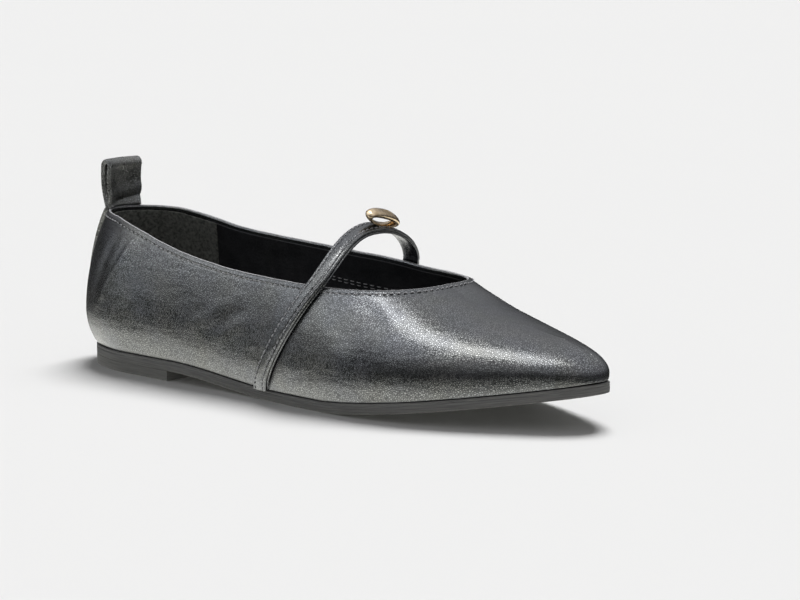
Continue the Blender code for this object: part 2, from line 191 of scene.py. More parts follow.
# Creases of the upper: side, start station and height, end station and height, width, depth. Heights are
# shares of BACK_HEIGHT, width and depth are metres. A positive depth is a ridge and a negative one a trough.
# CREASE_END is the part of the depth that is left at both ends.
SIDE_SIGN = {"lateral": -1.0, "medial": 1.0}
CREASE_END = 0.35
CREASES = (
    ("lateral", 0.136, 0.86, 0.112, 0.64, 0.0016, 0.00055),
    ("lateral", 0.112, 0.66, 0.078, 0.42, 0.0018, 0.00050),
    ("lateral", 0.090, 0.84, 0.066, 0.50, 0.0030, -0.00050),
    ("lateral", 0.160, 0.80, 0.140, 0.50, 0.0040, -0.00045),
    ("lateral", 0.310, 0.40, 0.400, 0.62, 0.0026, 0.00028),
    ("lateral", 0.335, 0.36, 0.425, 0.56, 0.0022, -0.00026),
    ("lateral", 0.360, 0.34, 0.440, 0.50, 0.0022, 0.00022),
    ("lateral", 0.600, 0.66, 0.640, 0.44, 0.0028, -0.00030),
    ("lateral", 0.630, 0.68, 0.668, 0.46, 0.0026, 0.00028),
    ("lateral", 0.655, 0.69, 0.700, 0.52, 0.0024, -0.00028),
    ("lateral", 0.680, 0.70, 0.722, 0.56, 0.0024, 0.00024),
    ("lateral", 0.490, 0.46, 0.505, 0.30, 0.0018, -0.00022),
    ("medial", 0.120, 0.86, 0.095, 0.45, 0.0026, 0.00040),
    ("medial", 0.090, 0.80, 0.070, 0.42, 0.0030, -0.00040),
    ("medial", 0.340, 0.38, 0.430, 0.62, 0.0028, 0.00026),
    ("medial", 0.370, 0.34, 0.455, 0.55, 0.0026, -0.00026),
    ("medial", 0.600, 0.66, 0.650, 0.42, 0.0028, -0.00028),
    ("medial", 0.640, 0.68, 0.690, 0.48, 0.0026, 0.00026),
)

# Section of the strap: places across as shares of half its width, -1 at the rear edge, and heights as shares
# of half its thickness. Two layers with a seam between them, a stitched channel near each edge above.
STRAP_SECTION = (
    (-0.873, -1.000), (-0.963, -0.864), (-0.986, -0.545), (-0.946, -0.200), (-0.907, -0.109), (-0.958, 0.045),
    (-1.000, 0.318), (-0.980, 0.655), (-0.901, 0.891), (-0.803, 0.945), (-0.690, 0.760), (-0.577, 0.909),
    (-0.338, 0.982), (-0.113, 1.000), (0.113, 0.982), (0.296, 0.891), (0.408, 0.690), (0.493, 0.891),
    (0.620, 1.000), (0.775, 0.909), (0.873, 0.618), (0.901, 0.273), (0.873, 0.000), (0.831, -0.109),
    (0.901, -0.164), (0.980, -0.273), (1.000, -0.564), (0.975, -0.855), (0.873, -1.000), (0.423, -1.000),
    (0.000, -1.000), (-0.423, -1.000),
)
STRAP_STITCH_ROWS = ((-0.690, 0.800), (0.408, 0.730))
STRAP_STITCH_PITCH = 0.0027
STRAP_TUCK = 0.0010
STRAP_TUCK_REACH = 0.0032

# Sides of sole and heel from the upper face down: how far each line stands out, its drop as a share
SOLE_SIDE = (
    (-0.00035, 0.00), (-0.00010, 0.02), (0.00000, 0.07), (0.00000, 0.20), (-0.00013, 0.235), (0.00000, 0.27),
    (0.00004, 0.50), (0.00000, 0.90), (-0.00006, 0.98), (-0.00016, 1.00),
)
HEEL_SIDE = ((0.0, 0.00), (0.0, 0.30), (0.0, 0.60), (0.0, 0.88), (-0.00012, 0.97), (-0.00040, 1.00))
HEEL_SEAM = 0.00004
INSOLE_DIP = 0.0006

# Ring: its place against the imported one, its thicker top and the beaded patch
RING_SINK = 0.0013
RING_FORWARD = 0.0002
RING_LEVEL = math.radians(3)
RING_TIP = math.radians(14)
RING_CUSHION = 0.0006
RING_SQUARENESS = 0.85
RING_PATCH_REACH = 0.0042
RING_BEAD = 0.0011
RING_RELIEF = 0.00030

# Pull tab: padding and round edges, and on the inner leg a ridge over a trough. Places are shares of the leg.
TAB_PADDING = 0.0008
TAB_PINCH = 0.0008
TAB_EDGE_ROUND = 0.00045
TAB_SLANT = 0.16
TAB_RIDGE = 0.00045
TAB_RIDGE_AT = 0.36
TAB_RIDGE_WIDTH = 0.12
TAB_TROUGH = 0.00055
TAB_TROUGH_AT = 0.15
TAB_TROUGH_WIDTH = 0.07
TAB_GATHER = 0.07
TAB_GATHER_REACH = 0.2

# Leather: two tints of its gloss, the lean and stretch of its soft wrinkles, and the gaps between the grains.
# Scales are cells per metre. The last two rows say which part of a noise goes from one colour to another.
COOL_GLOSS = (0.93, 0.96, 1.0)
WARM_GLOSS = (0.99, 1.0, 0.96)
TINT_SCALE = 55.0
MOTTLE_SCALE = 130.0
DIMPLE_SCALE = 260.0
WRINKLE_LEAN = math.radians(32)
WRINKLE_SCALE = (42.0, 55.0, 150.0)
WRINKLE_DEPTH = 0.0018
WRINKLE_STRENGTH = 0.22
DIMPLE_DEPTH = 0.0001
DIMPLE_STRENGTH = 0.4 * WRINKLE_STRENGTH
BLEND_STOPS = (0.35, 0.65)
SPREAD_RANGE = (0.3, 0.7)
GRAIN_WARP = 0.8
GRAIN_GAP = 0.34
GAP_GLOSS = 0.30

# Studio. Sky stops are elevations and brightness. A sun has strength, angle, azimuth and elevation. A box has
# width, height, power, azimuth, elevation and roll. All angles are degrees.
FLOOR_HALF = 8.0
FLOOR_COLOR = (0.775, 0.774, 0.772)
SKY_STRENGTH = 2.0
SKY_STOPS = ((-90, 0.85), (-29, 0.82), (-18, 0.04), (0, 0.03), (20, 0.05), (42, 0.18), (62, 0.42), (90, 0.56))
SKY_TILT = 0.16
SKY_LOW_TINT = (1.0, 1.0, 0.95)
SKY_HIGH_TINT = (0.97, 0.98, 1.02)
COOL_WHITE = (0.94, 0.97, 1.0)
OVERHEAD = (3.15, 30, 110, 66)
FILL = (0.70, 140, -50, 75)
GLOW = (1.02, 27, -98, 72)
BOX_DISTANCE = 1.3
SIDE_BOX = (1.0, 1.1, 4.4, -128, 36, -25)
LOW_BOX = (0.95, 0.5, 1.0, -143, 9, 0)

# Camera of the photograph
IMAGE_WIDTH = 800
FOCAL_PIXELS = 3050
SENSOR_WIDTH = 36.0
VIEW_AZIMUTH = math.radians(40.0)
VIEW_ELEVATION = math.radians(9.2)
VIEW_TARGET = Vector((0.096, 0.0, 0.035))
VIEW_DISTANCE = 1.2
VIEW_RIGHT = 0.02425
VIEW_UP = 0.00152


def unit(vectors):
    """The same directions at length one."""
    return vectors / np.linalg.norm(vectors, axis=-1, keepdims=True)


def column(table, names, name):
    """One named column of a table."""
    return np.array([row[names.index(name)] for row in table], float)


def station_of(turn):
    """Station of a turn: turns are even steps that crowd the stations at heel and toe."""
    return (1.0 - np.cos(np.pi * np.asarray(turn, float))) / 2.0


def turn_of(station):
    """Turn of a station, 0 at the heel and 1 at the toe."""
    return np.arccos(1.0 - 2.0 * np.clip(station, 0.0, 1.0)) / np.pi


def smooth_curve(places, values, at):
    """Smooth curve through the given points that never swings past them."""
    step = np.diff(places)
    slope = np.diff(values) / step
    tangent = np.zeros(len(values))
    same = slope[:-1] * slope[1:] > 0.0
    before = slope[:-1][same]
    after = slope[1:][same]
    tangent[1:-1][same] = 2.0 * before * after / (before + after)
    tangent[0] = slope[0]
    tangent[-1] = slope[-1]
    index = np.clip(np.searchsorted(places, at) - 1, 0, len(step) - 1)
    share = (at - places[index]) / step[index]
    rest = 1.0 - share
    start = values[index] * (1.0 + 2.0 * share) * rest ** 2
    end = values[index + 1] * (3.0 - 2.0 * share) * share ** 2
    leave = tangent[index] * step[index] * share * rest ** 2
    arrive = tangent[index + 1] * step[index] * rest * share ** 2
    return start + end + leave - arrive


def section_value(name, station):
    """A column of SECTIONS read at any station. Widths follow the turn, so that both ends come out round."""
    stations = column(SECTIONS, SECTION_COLUMNS, "station")
    values = column(SECTIONS, SECTION_COLUMNS, name)
    if name == "half_width":
        return smooth_curve(turn_of(stations), values, turn_of(station))
    return smooth_curve(stations, values, np.asarray(station, float))


def fold(turn):
    """Turn on one side, 0 at the heel and 1 at the toe, of a turn that runs round the shoe from 0 to 2."""
    around = np.mod(turn, 2.0)
    return np.where(around > 1.0, 2.0 - around, around)


def side_sign(turn):
    """-1 on the lateral half of the way round the shoe and 1 on the medial half."""
    return np.where(np.mod(turn, 2.0) > 1.0, 1.0, -1.0)


def turn_at(station, side):
    """Turn round the shoe of a station on one side."""
    turn = float(turn_of(station))
    return turn if side == "lateral" else 2.0 - turn


def topline_height(turn):
    """Height of the opening's edge over the floor."""
    station = np.minimum(station_of(fold(turn)), THROAT_STATION)
    stations = np.append(column(TOPLINE, TOPLINE_COLUMNS, "station"), THROAT_STATION)
    heights = {}
    for side in ("lateral", "medial"):
        row = np.append(column(TOPLINE, TOPLINE_COLUMNS, side) * BACK_HEIGHT, THROAT_HEIGHT)
        heights[side] = smooth_curve(stations, row, station)
    return np.where(side_sign(turn) < 0.0, heights["lateral"], heights["medial"])


def sole_floor(x):
    """Height of the sole's underside over the floor: on the heel, down the arch, flat ball, toe spring."""
    station = np.asarray(x, float) / LAST_LENGTH
    arch = np.clip((station - BREAST_STATION) / (ARCH_END_STATION - BREAST_STATION), 0.0, 1.0)
    spring = np.clip((station - SPRING_STATION) / (1.0 - SPRING_STATION), 0.0, None)
    return HEEL_HEIGHT * (1.0 - arch ** 2 * (3.0 - 2.0 * arch)) + TOE_SPRING * spring ** SPRING_CURVE


def sole_top(x):
    """Height of the sole's upper face."""
    return sole_floor(x) + SOLE_THICKNESS


def outline(turn):
    """Points in plan of the last's bottom outline, round from the heel by the lateral side."""
    station = station_of(fold(turn))
    across = section_value("centre", station) + side_sign(turn) * section_value("half_width", station)
    return np.stack([LAST_LENGTH * station, BALL_WIDTH * across], axis=-1)


def outline_normal(turn):
    """Outward directions of the outline in plan."""
    run = unit(outline(turn + TURN_STEP) - outline(turn - TURN_STEP))
    return np.stack([run[..., 1], -run[..., 0]], axis=-1)


def wall_levels(station):
    """Heights of the upper's foot, bulge and spine."""
    foot = sole_top(LAST_LENGTH * station) + GAP
    bulge = foot + BULGE_HEIGHT * section_value("bulge_at", station)
    return foot, bulge, INSTEP_HEIGHT * section_value("spine", station)


def wall(turn, sweep):
    """Points of the upper's outer face. Sweep: -1 at the sole, 0 at the bulge, pi / 2 at the spine."""
    turn, sweep = np.broadcast_arrays(np.asarray(turn, float), np.asarray(sweep, float))
    station = station_of(fold(turn))
    foot, bulge, spine = wall_levels(station)
    share = 1.0 + np.minimum(sweep, 0.0)
    push = UPPER_BULGE * section_value("bulge", station) * np.sin(np.pi / 2.0 * share ** LOWER_ROUNDING)
    widest = outline(turn) + outline_normal(turn) * push[..., None]
    run = LAST_LENGTH - SPINE_HEEL_SET - SPINE_TOE_SET
    spine_across = BALL_WIDTH * section_value("centre", station)
    spine_plan = np.stack([SPINE_HEEL_SET + run * station, spine_across], axis=-1)
    power = 2.0 / section_value("fullness", station)
    rise = np.clip(sweep, 0.0, np.pi / 2.0)
    inward = np.maximum(np.cos(rise), 0.0) ** power
    plan = spine_plan + (widest - spine_plan) * inward[..., None]
    low = foot + (bulge - foot) * share
    height = np.where(sweep < 0.0, low, bulge + (spine - bulge) * np.sin(rise) ** power)
    return np.concatenate([plan, height[..., None]], axis=-1)


def wall_sweep(turn, height):
    """Sweep of the upper's section at a height."""
    station = station_of(fold(turn))
    foot, bulge, spine = wall_levels(station)
    low = np.maximum(height - foot, 0.0) / (bulge - foot) - 1.0
    share = np.clip((height - bulge) / (spine - bulge), 0.0, 1.0)
    high = np.arcsin(share ** (section_value("fullness", station) / 2.0))
    return np.where(height <= bulge, low, high)


def wall_normal(turn, sweep):
    """Outward directions of the upper's outer surface."""
    beside = np.minimum(sweep, np.pi / 2.0 - 2.0 * WALL_SWEEP_STEP)
    along = wall(turn + WALL_TURN_STEP, beside) - wall(turn - WALL_TURN_STEP, beside)
    low = np.maximum(sweep - WALL_SWEEP_STEP, -1.0)
    high = np.minimum(sweep + WALL_SWEEP_STEP, np.pi / 2.0)
    return unit(np.cross(along, wall(turn, high) - wall(turn, low)))


def wall_at(station, side, height):
    """Point and outward direction of the upper's outer surface at a height over the floor."""
    turn = turn_at(max(station, 0.0), side)
    sweep = wall_sweep(turn, height)
    return wall(turn, sweep), wall_normal(turn, sweep)


def add_mesh(name, points, faces, material, uvs=None, solid=False, smooth_angle=50.0):
    """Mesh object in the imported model's frame, with points that fall together joined."""
    shape = bmesh.new()
    corners = [shape.verts.new(Vector(point)) for point in points]
    layer = shape.loops.layers.uv.new("UVMap") if uvs is not None else None
    for face in faces:
        made = shape.faces.new([corners[index] for index in face])
        if layer is not None:
            for loop, index in zip(made.loops, face):
                loop[layer].uv = uvs[index]
    bmesh.ops.translate(shape, verts=shape.verts, vec=(-HEEL_SEAT, 0.0, 0.0))
    bmesh.ops.remove_doubles(shape, verts=shape.verts, dist=1e-6)
    if solid:
        bmesh.ops.recalc_face_normals(shape, faces=shape.faces)
    mesh = bpy.data.meshes.new(name)
    shape.to_mesh(mesh)
    shape.free()
    mesh.materials.append(material)
    mesh.shade_smooth()
    mesh.set_sharp_from_angle(angle=math.radians(smooth_angle))
    item = bpy.data.objects.new(name, mesh)
    bpy.context.scene.collection.objects.link(item)
    return item


def grid_faces(rows, columns, closed=False):
    """Quads of a grid whose points run column by column within each row."""
    faces = []
    last = columns if closed else columns - 1
    for row in range(rows - 1):
        for place in range(last):
            after = (place + 1) % columns
            low = row * columns
            high = low + columns
            faces.append((low + place, low + after, high + after, high + place))
    return faces


def used_points(points, faces):
    """The points that some faces use, and these faces on them."""
    used = sorted({index for face in faces for index in face})
    order = {index: number for number, index in enumerate(used)}
    return points[used], [tuple(order[index] for index in face) for face in faces]


def thicken(item, thickness, offset=-1.0):
    """Give a sheet its thickness: under its face, or half on each side where the offset is 0."""
    thick = item.modifiers.new("Thickness", "SOLIDIFY")
    thick.thickness = thickness
    thick.offset = offset


def dress(item, node_names):
    """Make a piece ride on the shoe and stand for its CAD nodes."""
    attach(item, "root")
    if node_names:
        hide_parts(*node_names)
    return item


def upper_turns():
    """Turns of the upper's columns, crowded at the heel, on both sides of the throat and at the toe."""
    throat = float(turn_of(THROAT_STATION))
    back = [throat * math.sin(math.pi / 2 * step / BACK_STEPS) for step in range(BACK_STEPS)]
    vamp = [throat + (1.0 - throat) * (step / VAMP_STEPS) ** VAMP_CROWDING for step in range(VAMP_STEPS + 1)]
    side = back + vamp
    return np.array(side + [2.0 - turn for turn in reversed(side[1:-1])])


def top_sweep(turn):
    """Sweep of the topline, or of the spine in front of the throat."""
    open_part = station_of(fold(turn)) < THROAT_STATION
    return np.where(open_part, wall_sweep(turn, topline_height(turn)), np.pi / 2.0)


def topline_loop():
    """Points round the opening, with their outward directions and their directions into the opening."""
    throat = float(turn_of(THROAT_STATION))
    share = np.sin(np.pi / 2.0 * np.linspace(0.0, 1.0, LOOP_STEPS))
    turns = np.concatenate([throat * share, (2.0 - throat * share[:-1])[::-1]])
    sweeps = top_sweep(turns)
    points = wall(turns, sweeps)
    normals = wall_normal(turns, sweeps)
    along = np.roll(points, -1, axis=0) - np.roll(points, 1, axis=0)
    along = along / np.maximum(np.linalg.norm(along, axis=-1, keepdims=True), 1e-9)
    inward = unit(np.cross(along, normals))
    return points, normals, inward * np.sign(inward[0, 2])


def nearest(points, targets):
    """Index of the nearest target of each point, and its distance."""
    index = np.empty(len(points), int)
    distance = np.empty(len(points))
    for start in range(0, len(points), SEARCH_BATCH):
        batch = slice(start, start + SEARCH_BATCH)
        gaps = np.linalg.norm(points[batch, None, :] - targets[None, :, :], axis=-1)
        index[batch] = gaps.argmin(axis=1)
        distance[batch] = gaps.min(axis=1)
    return index, distance


def crease_relief(turn, height):
    """How far the creases lift or sink the upper's surface."""
    x = LAST_LENGTH * station_of(fold(turn))
    relief = np.zeros(np.shape(x))
    for side, from_station, from_height, to_station, to_height, width, depth in CREASES:
        start = np.array([LAST_LENGTH * from_station, BACK_HEIGHT * from_height])
        run = np.array([LAST_LENGTH * to_station, BACK_HEIGHT * to_height]) - start
        length = np.linalg.norm(run)
        run = run / length
        along = (x - start[0]) * run[0] + (height - start[1]) * run[1]
        across = (x - start[0]) * run[1] - (height - start[1]) * run[0]
        share = np.clip(along / length, 0.0, 1.0)
        past = (along - share * length) / width
        strength = CREASE_END + (1.0 - CREASE_END) * np.sin(np.pi * share)
        shape = np.exp(-(across / width) ** 2 - past ** 2) * strength
        same_side = side_sign(turn) == SIDE_SIGN[side]
        relief += np.where(same_side, depth * shape, 0.0)
    return relief


def spine_fillet(turn, sweep):
    """Height that rounds the line where the lateral and medial halves of the vamp meet."""
    spine = wall(turn, np.pi / 2.0)
    reach = (wall(turn, 0.0) - spine)[:, :2]
    length = np.maximum(np.linalg.norm(reach, axis=1), 1e-6)
    ahead = wall(turn + TURN_STEP, np.pi / 2.0) - wall(turn - TURN_STEP, np.pi / 2.0)
    slope = ahead[:, 2] / np.where(np.abs(ahead[:, 0]) > 1e-7, ahead[:, 0], np.inf)
    off = length * np.cos(np.clip(sweep, 0.0, np.pi / 2.0))
    start = np.clip((spine[:, 0] - LAST_LENGTH * THROAT_STATION) / SPINE_FADE, 0.0, 1.0)
    end = np.clip((length - SPINE_ROUND) / SPINE_ROUND, 0.0, 1.0)
    rise = -slope * reach[:, 0] / length
    return np.maximum(rise, 0.0) * (np.sqrt(off ** 2 + SPINE_ROUND ** 2) - off) * start * end


class Surface:
    """Fine grid on the upper's outer surface, with outward directions and distances from the topline.

    The two halves meet in one row of points along the spine of the vamp.
    """

    def __init__(self):
        self.turns = upper_turns()
        tops = top_sweep(self.turns)
        lower = np.linspace(-1.0, 0.0, LOWER_STEPS, endpoint=False)
        shares = 1.0 - (1.0 - np.linspace(0.0, 1.0, UPPER_STEPS + 1)) ** WALL_CROWDING
        sweeps = [np.full(len(self.turns), sweep) for sweep in lower] + [tops * share for share in shares]
        points = np.array([wall(self.turns, sweep) for sweep in sweeps])
        self.normals = np.array([wall_normal(self.turns, sweep) for sweep in sweeps])
        self.station = station_of(fold(self.turns))
        self.opening = self.station < THROAT_STATION
        other_side = -np.arange(len(self.turns)) % len(self.turns)
        spine = unit(self.normals[-1] + self.normals[-1][other_side])
        self.normals[-1] = np.where(self.opening[:, None], self.normals[-1], spine)
        loop_points, _, loop_inward = topline_loop()
        index, distance = nearest(points.reshape(-1, 3), loop_points)
        self.distance = distance.reshape(points.shape[:2])
        self.inward = loop_inward[index].reshape(points.shape)
        near = np.clip(1.0 - self.distance / EDGE_BLEND, 0.0, 1.0)
        relief = np.array([crease_relief(self.turns, row[:, 2]) for row in points]) * (1.0 - near)
        points = points - self.inward * (UPPER_WALL / 2.0 * near ** 2)[..., None]
        points[..., 2] += np.array([spine_fillet(self.turns, sweep) for sweep in sweeps]) * (1.0 - near)
        self.points = points + self.normals * relief[..., None]
        joined = (self.points[-1] + self.points[-1][other_side]) / 2.0
        self.points[-1] = np.where(self.opening[:, None], self.points[-1], joined)

    def outer(self):
        """Points of the outer face, with the bead of the turned edge and the channel of its stitches."""
        inset = self.distance - STITCH_INSET
        bead = EDGE_BEAD * np.exp(-((inset + STITCH_INSET / 2.0) / (STITCH_INSET / 3.0)) ** 2)
        channel = STITCH_CHANNEL * np.exp(-(inset / STITCH_CHANNEL_WIDTH) ** 2)
        return self.points + self.normals * (bead - channel)[..., None]

    def inner(self, depth):
        """Points at a depth under the outer face."""
        return self.points - self.normals * depth


def upper_rows(surface):
    """Rows of the upper's section: outer face, round turned edge of the topline, inner face."""
    top, normals, inward = surface.points[-1], surface.normals[-1], surface.inward[-1]
    centre = top - normals * UPPER_WALL / 2.0
    rows = list(surface.outer())
    for step in range(1, RIM_STEPS):
        angle = math.pi * step / RIM_STEPS
        rows.append(centre + UPPER_WALL / 2.0 * (normals * math.cos(angle) + inward * math.sin(angle)))
    return rows + list(surface.inner(UPPER_WALL)[::-1])


def build_upper(surface, material):
    """Upper of one leather, closed under the sole and open at the collar."""
    rows = upper_rows(surface)
    columns = len(surface.turns)
    outer_rows = len(surface.points)
    faces = []
    for number, face in enumerate(grid_faces(len(rows), columns, closed=True)):
        row, place = divmod(number, columns)
        in_rim = outer_rows - 1 <= row < len(rows) - outer_rows
        if in_rim and not (surface.opening[place] or surface.opening[(place + 1) % columns]):
            continue
        faces.append(face)
    inner_foot = (len(rows) - 1) * columns
    for place in range(columns):
        after = (place + 1) % columns
        faces.append((inner_foot + place, inner_foot + after, after, place))
    item = add_mesh("upper_shell", np.array(rows).reshape(-1, 3), faces, material)
    return dress(item, ["upper"])


def build_cut_edge_and_highlight(surface, material):
    """Pale line on the turned edge of the topline: partly the leather's pale cut edge, partly a painted
    highlight.
    """
    rows = upper_rows(surface)
    columns = len(surface.turns)
    first, last = (len(surface.points) - 1 + int(RIM_STEPS * share) for share in CUT_EDGE_AND_HIGHLIGHT_SHARE)
    faces = grid_faces(len(rows), columns, closed=True)[first * columns:last * columns]
    opening = surface.opening
    faces = [face for face in faces if opening[face[0] % columns] or opening[face[1] % columns]]
    centres = np.tile(surface.points[-1] - surface.normals[-1] * UPPER_WALL / 2.0, (len(rows), 1))
    points = np.array(rows).reshape(-1, 3)
    raised = points + unit(points - centres) * CUT_EDGE_AND_HIGHLIGHT_RISE
    item = add_mesh("topline_cut_edge_and_highlight", *used_points(raised, faces), material)
    thicken(item, CUT_EDGE_AND_HIGHLIGHT_THICKNESS)
    return dress(item, [])


def build_lining(surface, name, stations, depth, material):
    """Lining between two stations, its cut edge a little below the topline."""
    inner = surface.inner(depth).reshape(-1, 3)
    distance = surface.distance.reshape(-1)
    columns = len(surface.turns)
    faces = []
    for number, face in enumerate(grid_faces(len(surface.points), columns, closed=True)):
        place = number % columns
        middle = (surface.station[place] + surface.station[(place + 1) % columns]) / 2.0
        if distance[list(face)].min() >= LINING_DROP and stations[0] <= middle <= stations[1]:
            faces.append(tuple(reversed(face)))
    item = add_mesh(name, *used_points(inner, faces), material)
    thicken(item, LINING_THICKNESS)
    return dress(item, [])


def build_linings(surface, lining, suede):
    """Leather lining in front and the napped lining of the heel, which ends over it."""
    depth = UPPER_WALL + LINING_THICKNESS
    build_lining(surface, "lining", (HEEL_LINING_STATION - LINING_OVERLAP, 1.0), depth, lining)
    build_lining(surface, "heel_lining", (0.0, HEEL_LINING_STATION), depth + HEEL_LINING_STEP, suede)


def resample(points, normals, pitch):
    """Even places on a path, with their directions along it and outward."""
    length = np.concatenate([[0.0], np.cumsum(np.linalg.norm(np.diff(points, axis=0), axis=1))])
    count = max(int(length[-1] / pitch), 1)
    places = (np.arange(count) + 0.5) * length[-1] / count

    def read(values, at):
        return np.stack([np.interp(at, length, values[:, axis]) for axis in range(3)], axis=1)

    run = read(points, places + pitch / 4) - read(points, places - pitch / 4)
    return read(points, places), unit(run), read(normals, places)


def add_stitches(name, paths, pitch, material):
    """Stitches along paths of points and outward directions: short threads that dip in at both ends."""
    shares = np.linspace(-1.0, 1.0, STITCH_SPOTS)
    around = np.linspace(0.0, 2.0 * np.pi, STITCH_SIDES, endpoint=False)
    points = []
    faces = []
    for path_points, path_normals in paths:
        for spot, run, outward in zip(*resample(path_points, path_normals, pitch)):
            side = np.cross(outward, run)
            base = len(points)
            for share in shares:
                centre = spot + run * (share * STITCH_LENGTH / 2.0)
                centre = centre + outward * THREAD_RADIUS * (0.9 - 1.7 * share ** 2)
                radius = THREAD_RADIUS * math.sqrt(1.0 - 0.75 * share ** 2)
                points += [centre + radius * (side * math.cos(a) + outward * math.sin(a)) for a in around]
            ring = grid_faces(len(shares), len(around), closed=True)
            faces += [tuple(base + index for index in face) for face in ring]
            last = base + (len(shares) - 1) * len(around)
            faces.append(tuple(range(base, base + len(around)))[::-1])
            faces.append(tuple(range(last, last + len(around))))
    item = add_mesh(name, points, faces, material, solid=True)
    return dress(item, [])


def build_topline_stitches(surface, material):
    """Row of stitches under the turned edge, all round the opening."""
    loop_points, _, inward = topline_loop()
    path = loop_points - inward * STITCH_INSET
    outer = surface.outer().reshape(-1, 3)
    normals = surface.normals.reshape(-1, 3)
    index, _ = nearest(path, outer)
    off = np.sum((path - outer[index]) * normals[index], axis=1, keepdims=True)
    path = path - normals[index] * off
    path = np.vstack([path, path[:1]])
    outward = np.vstack([normals[index], normals[index][:1]])
    return add_stitches("topline_stitches", [(path, outward)], STITCH_PITCH, material)


def build_lining_stitches(material):
    """Double row of stitches on the medial lining."""
    (from_station, from_height), (to_station, to_height) = LINING_ROW
    stations = np.linspace(from_station, to_station, LINING_ROW_STEPS)
    turns = np.array([turn_at(station, "medial") for station in stations])
    heights = np.linspace(from_height, to_height, LINING_ROW_STEPS)
    paths = []
    for lift in (0.0, LINING_ROW_SPACE):
        sweeps = wall_sweep(turns, heights + lift)
        normals = wall_normal(turns, sweeps)
        points = wall(turns, sweeps) - normals * (UPPER_WALL + LINING_THICKNESS)
        paths.append((points, -normals))
    return add_stitches("lining_stitches", paths, STITCH_PITCH, material)


def strap_wall_run(side):
    """Rows of the strap where it lies on the upper, from the sole up: front edge, middle and rear edge."""
    top = float(topline_height(turn_at(STRAP_TOP_STATION[side], side)))
    lean = LAST_LENGTH * (STRAP_TOP_STATION[side] - STRAP_FOOT_STATION[side]) / top
    half = STRAP_WIDTH / 2.0 * math.hypot(1.0, lean)
    foot = sole_top(LAST_LENGTH * STRAP_FOOT_STATION[side] - half) + GAP / 2.0
    rows = []
    for step in range(STRAP_WALL_STEPS + 1):
        share = step / STRAP_WALL_STEPS
        station = STRAP_FOOT_STATION[side] * (1.0 - share) + STRAP_TOP_STATION[side] * share
        height = foot * (1.0 - share) + top * share
        row = []
        tuck = STRAP_TUCK * math.exp(-((height - foot) / STRAP_TUCK_REACH) ** 2)
        for way in (1.0, 0.0, -1.0):
            point, out = wall_at(station + way * half / LAST_LENGTH, side, height)
            row.append(point + out * (GAP + STRAP_THICKNESS / 2.0 - tuck))
        rows.append(row)
    return rows


def bend_between(start, leave, end, arrive, share):
    """Point of a smooth bend that leaves start and arrives at end in the given directions."""
    rest = 1.0 - share
    pull = leave * (share * rest ** 2) - arrive * (rest * share ** 2)
    return start * ((1.0 + 2.0 * share) * rest ** 2) + end * ((3.0 - 2.0 * share) * share ** 2) + pull


def strap_arch(line, reach):
    """Rows of one half of the free arch, from the last row on the upper to the crown."""
    crown = np.array([LAST_LENGTH * STRAP_CROWN_STATION, STRAP_CROWN_ACROSS, STRAP_CROWN_HEIGHT])
    crown_half = np.array([math.cos(STRAP_BANK), 0.0, -math.sin(STRAP_BANK)]) * STRAP_WIDTH / 2.0
    front, start, rear = line[-1]
    climb = unit(start - line[-2][1]) * (crown[2] - start[2]) * ARCH_FULLNESS
    rows = []
    for step in range(1, STRAP_ARCH_STEPS + 1):
        share = step / STRAP_ARCH_STEPS
        middle = bend_between(start, climb, crown, reach, share)
        half = (front - rear) / 2.0 * (1.0 - share) + crown_half * share
        rows.append([middle + half, middle, middle - half])
    return rows


def strap_rows():
    """Rows of the whole strap, from the lateral to the medial side of the sole."""
    near = strap_wall_run("lateral")
    far = strap_wall_run("medial")
    chord = far[-1][1] - near[-1][1]
    chord[2] = 0.0
    chord = unit(chord)
    near_reach = chord * (STRAP_CROWN_ACROSS - near[-1][1][1]) * ARCH_FULLNESS
    far_reach = chord * (STRAP_CROWN_ACROSS - far[-1][1][1]) * ARCH_FULLNESS
    rise = strap_arch(near, near_reach)
    fall = strap_arch(far, far_reach)
    return np.array(near + rise + fall[-2::-1] + far[::-1])


def strap_line(rows, across, rise):
    """Points and outward directions along the strap at a place of its section."""
    front, middle, rear = rows[:, 0], rows[:, 1], rows[:, 2]
    points = middle + (front - rear) / 2.0 * across + (front + rear - 2.0 * middle) / 2.0 * across ** 2
    over = (front - rear) / 2.0 + (front + rear - 2.0 * middle) * across
    up = unit(np.cross(over, np.gradient(points, axis=0)))
    return points + up * (rise * STRAP_THICKNESS / 2.0), up


def build_strap(rows, material):
    """Instep strap of two layers: up the lateral side, free over the opening, down the medial side."""
    lines = [strap_line(rows, across, rise)[0] for across, rise in STRAP_SECTION]
    count = len(lines)
    points = np.stack(lines, axis=1).reshape(-1, 3)
    faces = grid_faces(len(rows), count, closed=True)
    faces.append(tuple(range(count))[::-1])
    faces.append(tuple(range(len(points) - count, len(points))))
    item = add_mesh("strap_leather_band", points, faces, material, solid=True, smooth_angle=70.0)
    return dress(item, ["strap"])


def build_strap_stitches(rows, material):
    """Row of stitches near each edge of the strap."""
    paths = [strap_line(rows, across, rise) for across, rise in STRAP_STITCH_ROWS]
    return add_stitches("strap_stitches", paths, STRAP_STITCH_PITCH, material)


